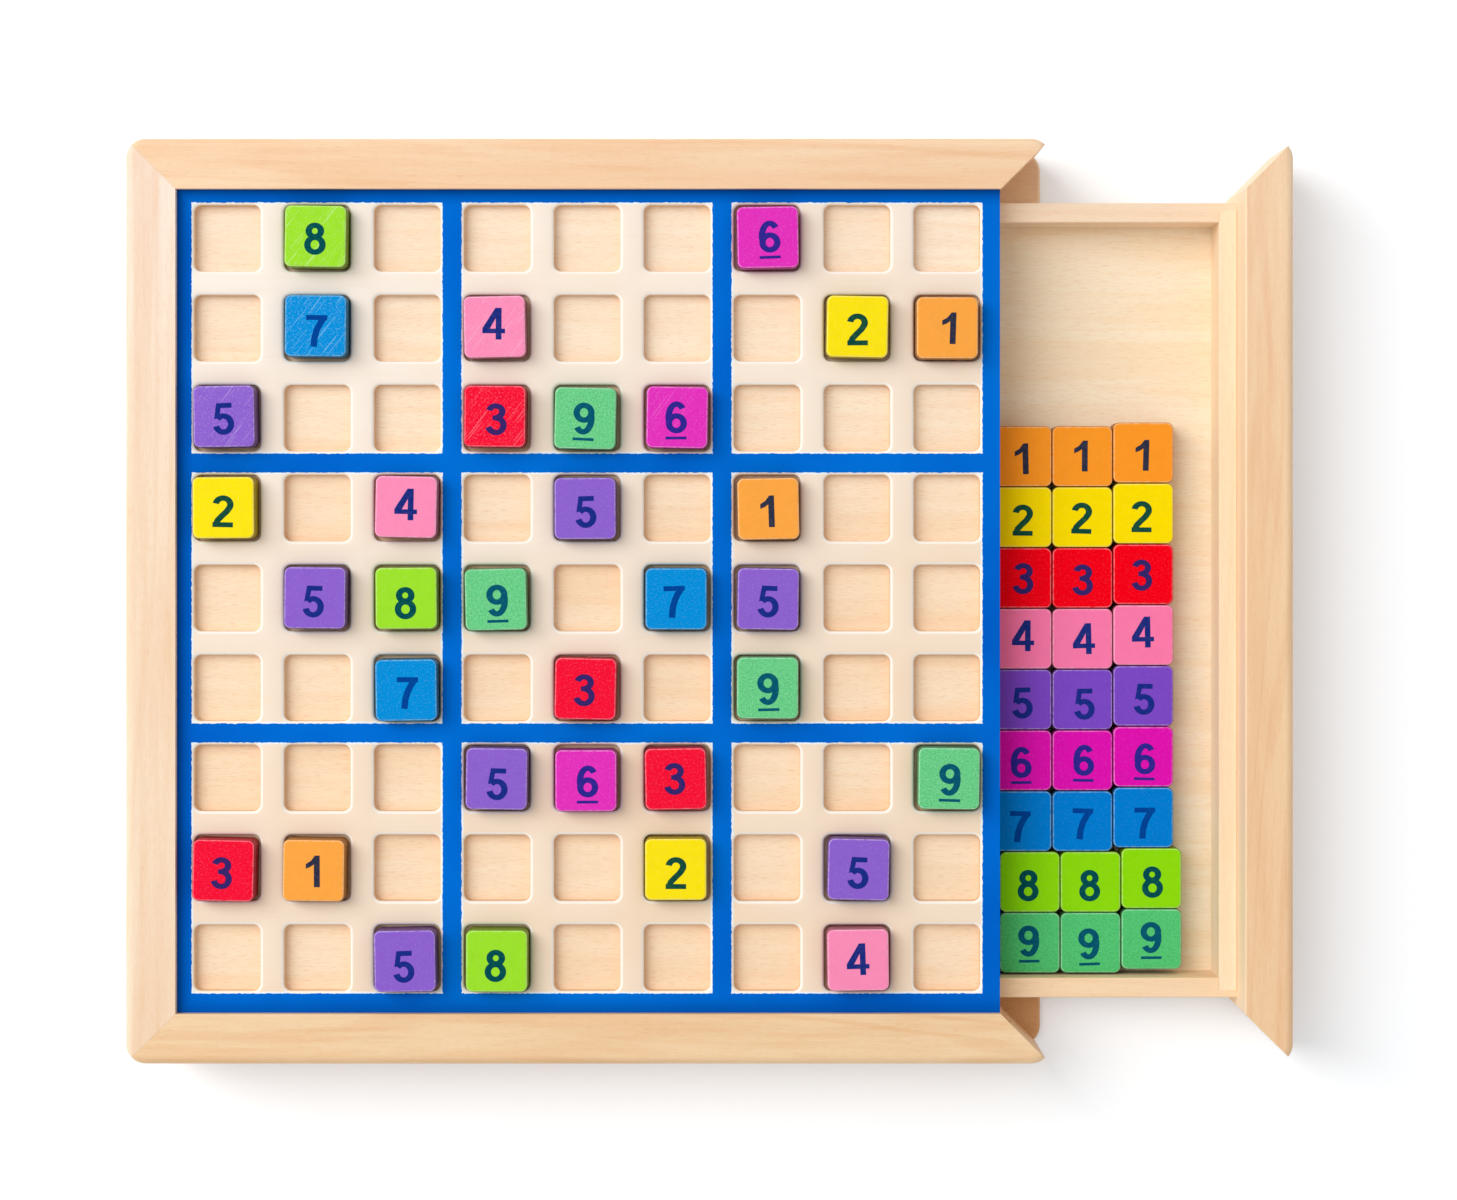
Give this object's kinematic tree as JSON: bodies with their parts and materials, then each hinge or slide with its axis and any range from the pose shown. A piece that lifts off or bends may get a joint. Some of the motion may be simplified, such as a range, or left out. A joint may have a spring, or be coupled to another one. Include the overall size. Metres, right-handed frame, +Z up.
{
  "type": "sudoku board",
  "caption": "Square wooden sudoku board with pockets for coloured number tiles, blue block lines and a storage drawer that slides out of one side.",
  "frame": {"origin": "middle of the base panel's underside, on the table", "axes": "+Z up, +X towards the drawer face, +Y away from the player"},
  "size_m": [0.3785, 0.3, 0.043],
  "materials": {
    "rail_wood": "clear lacquer, satin",
    "base_ply": "clear lacquer, satin",
    "dowel_wood": "clear lacquer, satin",
    "board_ply": "clear lacquer, satin",
    "board_paint": "painted cream with blue lines, satin",
    "drawer_wood": "clear lacquer, satin",
    "drawer_ply": "clear lacquer, satin",
    "screw_steel": "zinc plated, dull",
    "tile_paint_1": "painted, satin",
    "tile_paint_2": "painted, satin",
    "tile_paint_3": "painted, satin",
    "tile_paint_4": "painted, satin",
    "tile_paint_5": "painted, satin",
    "tile_paint_6": "painted, satin",
    "tile_paint_7": "painted, satin",
    "tile_paint_8": "painted, satin",
    "tile_paint_9": "painted, satin"
  },
  "bodies": {
    "frame": {"base_panel": "base_ply", "left_rail": "rail_wood", "far_rail": "rail_wood", "near_rail": "rail_wood", "mitre_dowels": "dowel_wood", "base_screws": "screw_steel", "board_backing": "board_ply", "pocket_sheet": "board_paint"},
    "drawer": {"drawer_face": "rail_wood", "drawer_inner_front": "drawer_wood", "drawer_back": "drawer_wood", "drawer_far_side": "drawer_wood", "drawer_near_side": "drawer_wood", "drawer_floor": "drawer_ply", "face_dowels": "dowel_wood", "drawer_tiles_1": "tile_paint_1", "drawer_tiles_2": "tile_paint_2", "drawer_tiles_3": "tile_paint_3", "drawer_tiles_4": "tile_paint_4", "drawer_tiles_5": "tile_paint_5", "drawer_tiles_6": "tile_paint_6", "drawer_tiles_7": "tile_paint_7", "drawer_tiles_8": "tile_paint_8", "drawer_tiles_9": "tile_paint_9"},
    "tile_8_r1c2": {"tile_8_r1c2": "tile_paint_8"},
    "tile_6_r1c7": {"tile_6_r1c7": "tile_paint_6"},
    "tile_7_r2c2": {"tile_7_r2c2": "tile_paint_7"},
    "tile_4_r2c4": {"tile_4_r2c4": "tile_paint_4"},
    "tile_2_r2c8": {"tile_2_r2c8": "tile_paint_2"},
    "tile_1_r2c9": {"tile_1_r2c9": "tile_paint_1"},
    "tile_5_r3c1": {"tile_5_r3c1": "tile_paint_5"},
    "tile_3_r3c4": {"tile_3_r3c4": "tile_paint_3"},
    "tile_9_r3c5": {"tile_9_r3c5": "tile_paint_9"},
    "tile_6_r3c6": {"tile_6_r3c6": "tile_paint_6"},
    "tile_2_r4c1": {"tile_2_r4c1": "tile_paint_2"},
    "tile_4_r4c3": {"tile_4_r4c3": "tile_paint_4"},
    "tile_5_r4c5": {"tile_5_r4c5": "tile_paint_5"},
    "tile_1_r4c7": {"tile_1_r4c7": "tile_paint_1"},
    "tile_5_r5c2": {"tile_5_r5c2": "tile_paint_5"},
    "tile_8_r5c3": {"tile_8_r5c3": "tile_paint_8"},
    "tile_9_r5c4": {"tile_9_r5c4": "tile_paint_9"},
    "tile_7_r5c6": {"tile_7_r5c6": "tile_paint_7"},
    "tile_5_r5c7": {"tile_5_r5c7": "tile_paint_5"},
    "tile_7_r6c3": {"tile_7_r6c3": "tile_paint_7"},
    "tile_3_r6c5": {"tile_3_r6c5": "tile_paint_3"},
    "tile_9_r6c7": {"tile_9_r6c7": "tile_paint_9"},
    "tile_5_r7c4": {"tile_5_r7c4": "tile_paint_5"},
    "tile_6_r7c5": {"tile_6_r7c5": "tile_paint_6"},
    "tile_3_r7c6": {"tile_3_r7c6": "tile_paint_3"},
    "tile_9_r7c9": {"tile_9_r7c9": "tile_paint_9"},
    "tile_3_r8c1": {"tile_3_r8c1": "tile_paint_3"},
    "tile_1_r8c2": {"tile_1_r8c2": "tile_paint_1"},
    "tile_2_r8c6": {"tile_2_r8c6": "tile_paint_2"},
    "tile_5_r8c8": {"tile_5_r8c8": "tile_paint_5"},
    "tile_5_r9c3": {"tile_5_r9c3": "tile_paint_5"},
    "tile_8_r9c4": {"tile_8_r9c4": "tile_paint_8"},
    "tile_4_r9c8": {"tile_4_r9c8": "tile_paint_4"}
  },
  "joints": [
    {"name": "drawer_slide", "type": "slide", "parent": "frame", "child": "drawer", "axis": [1, 0, 0], "range_m": [-0.0785, 0.12]},
    {"name": "lift_8_r1c2", "type": "slide", "parent": "frame", "child": "tile_8_r1c2", "axis": [0, 0, 1], "range_m": [0, 0.03]},
    {"name": "lift_6_r1c7", "type": "slide", "parent": "frame", "child": "tile_6_r1c7", "axis": [0, 0, 1], "range_m": [0, 0.03]},
    {"name": "lift_7_r2c2", "type": "slide", "parent": "frame", "child": "tile_7_r2c2", "axis": [0, 0, 1], "range_m": [0, 0.03]},
    {"name": "lift_4_r2c4", "type": "slide", "parent": "frame", "child": "tile_4_r2c4", "axis": [0, 0, 1], "range_m": [0, 0.03]},
    {"name": "lift_2_r2c8", "type": "slide", "parent": "frame", "child": "tile_2_r2c8", "axis": [0, 0, 1], "range_m": [0, 0.03]},
    {"name": "lift_1_r2c9", "type": "slide", "parent": "frame", "child": "tile_1_r2c9", "axis": [0, 0, 1], "range_m": [0, 0.03]},
    {"name": "lift_5_r3c1", "type": "slide", "parent": "frame", "child": "tile_5_r3c1", "axis": [0, 0, 1], "range_m": [0, 0.03]},
    {"name": "lift_3_r3c4", "type": "slide", "parent": "frame", "child": "tile_3_r3c4", "axis": [0, 0, 1], "range_m": [0, 0.03]},
    {"name": "lift_9_r3c5", "type": "slide", "parent": "frame", "child": "tile_9_r3c5", "axis": [0, 0, 1], "range_m": [0, 0.03]},
    {"name": "lift_6_r3c6", "type": "slide", "parent": "frame", "child": "tile_6_r3c6", "axis": [0, 0, 1], "range_m": [0, 0.03]},
    {"name": "lift_2_r4c1", "type": "slide", "parent": "frame", "child": "tile_2_r4c1", "axis": [0, 0, 1], "range_m": [0, 0.03]},
    {"name": "lift_4_r4c3", "type": "slide", "parent": "frame", "child": "tile_4_r4c3", "axis": [0, 0, 1], "range_m": [0, 0.03]},
    {"name": "lift_5_r4c5", "type": "slide", "parent": "frame", "child": "tile_5_r4c5", "axis": [0, 0, 1], "range_m": [0, 0.03]},
    {"name": "lift_1_r4c7", "type": "slide", "parent": "frame", "child": "tile_1_r4c7", "axis": [0, 0, 1], "range_m": [0, 0.03]},
    {"name": "lift_5_r5c2", "type": "slide", "parent": "frame", "child": "tile_5_r5c2", "axis": [0, 0, 1], "range_m": [0, 0.03]},
    {"name": "lift_8_r5c3", "type": "slide", "parent": "frame", "child": "tile_8_r5c3", "axis": [0, 0, 1], "range_m": [0, 0.03]},
    {"name": "lift_9_r5c4", "type": "slide", "parent": "frame", "child": "tile_9_r5c4", "axis": [0, 0, 1], "range_m": [0, 0.03]},
    {"name": "lift_7_r5c6", "type": "slide", "parent": "frame", "child": "tile_7_r5c6", "axis": [0, 0, 1], "range_m": [0, 0.03]},
    {"name": "lift_5_r5c7", "type": "slide", "parent": "frame", "child": "tile_5_r5c7", "axis": [0, 0, 1], "range_m": [0, 0.03]},
    {"name": "lift_7_r6c3", "type": "slide", "parent": "frame", "child": "tile_7_r6c3", "axis": [0, 0, 1], "range_m": [0, 0.03]},
    {"name": "lift_3_r6c5", "type": "slide", "parent": "frame", "child": "tile_3_r6c5", "axis": [0, 0, 1], "range_m": [0, 0.03]},
    {"name": "lift_9_r6c7", "type": "slide", "parent": "frame", "child": "tile_9_r6c7", "axis": [0, 0, 1], "range_m": [0, 0.03]},
    {"name": "lift_5_r7c4", "type": "slide", "parent": "frame", "child": "tile_5_r7c4", "axis": [0, 0, 1], "range_m": [0, 0.03]},
    {"name": "lift_6_r7c5", "type": "slide", "parent": "frame", "child": "tile_6_r7c5", "axis": [0, 0, 1], "range_m": [0, 0.03]},
    {"name": "lift_3_r7c6", "type": "slide", "parent": "frame", "child": "tile_3_r7c6", "axis": [0, 0, 1], "range_m": [0, 0.03]},
    {"name": "lift_9_r7c9", "type": "slide", "parent": "frame", "child": "tile_9_r7c9", "axis": [0, 0, 1], "range_m": [0, 0.03]},
    {"name": "lift_3_r8c1", "type": "slide", "parent": "frame", "child": "tile_3_r8c1", "axis": [0, 0, 1], "range_m": [0, 0.03]},
    {"name": "lift_1_r8c2", "type": "slide", "parent": "frame", "child": "tile_1_r8c2", "axis": [0, 0, 1], "range_m": [0, 0.03]},
    {"name": "lift_2_r8c6", "type": "slide", "parent": "frame", "child": "tile_2_r8c6", "axis": [0, 0, 1], "range_m": [0, 0.03]},
    {"name": "lift_5_r8c8", "type": "slide", "parent": "frame", "child": "tile_5_r8c8", "axis": [0, 0, 1], "range_m": [0, 0.03]},
    {"name": "lift_5_r9c3", "type": "slide", "parent": "frame", "child": "tile_5_r9c3", "axis": [0, 0, 1], "range_m": [0, 0.03]},
    {"name": "lift_8_r9c4", "type": "slide", "parent": "frame", "child": "tile_8_r9c4", "axis": [0, 0, 1], "range_m": [0, 0.03]},
    {"name": "lift_4_r9c8", "type": "slide", "parent": "frame", "child": "tile_4_r9c8", "axis": [0, 0, 1], "range_m": [0, 0.03]}
  ]
}
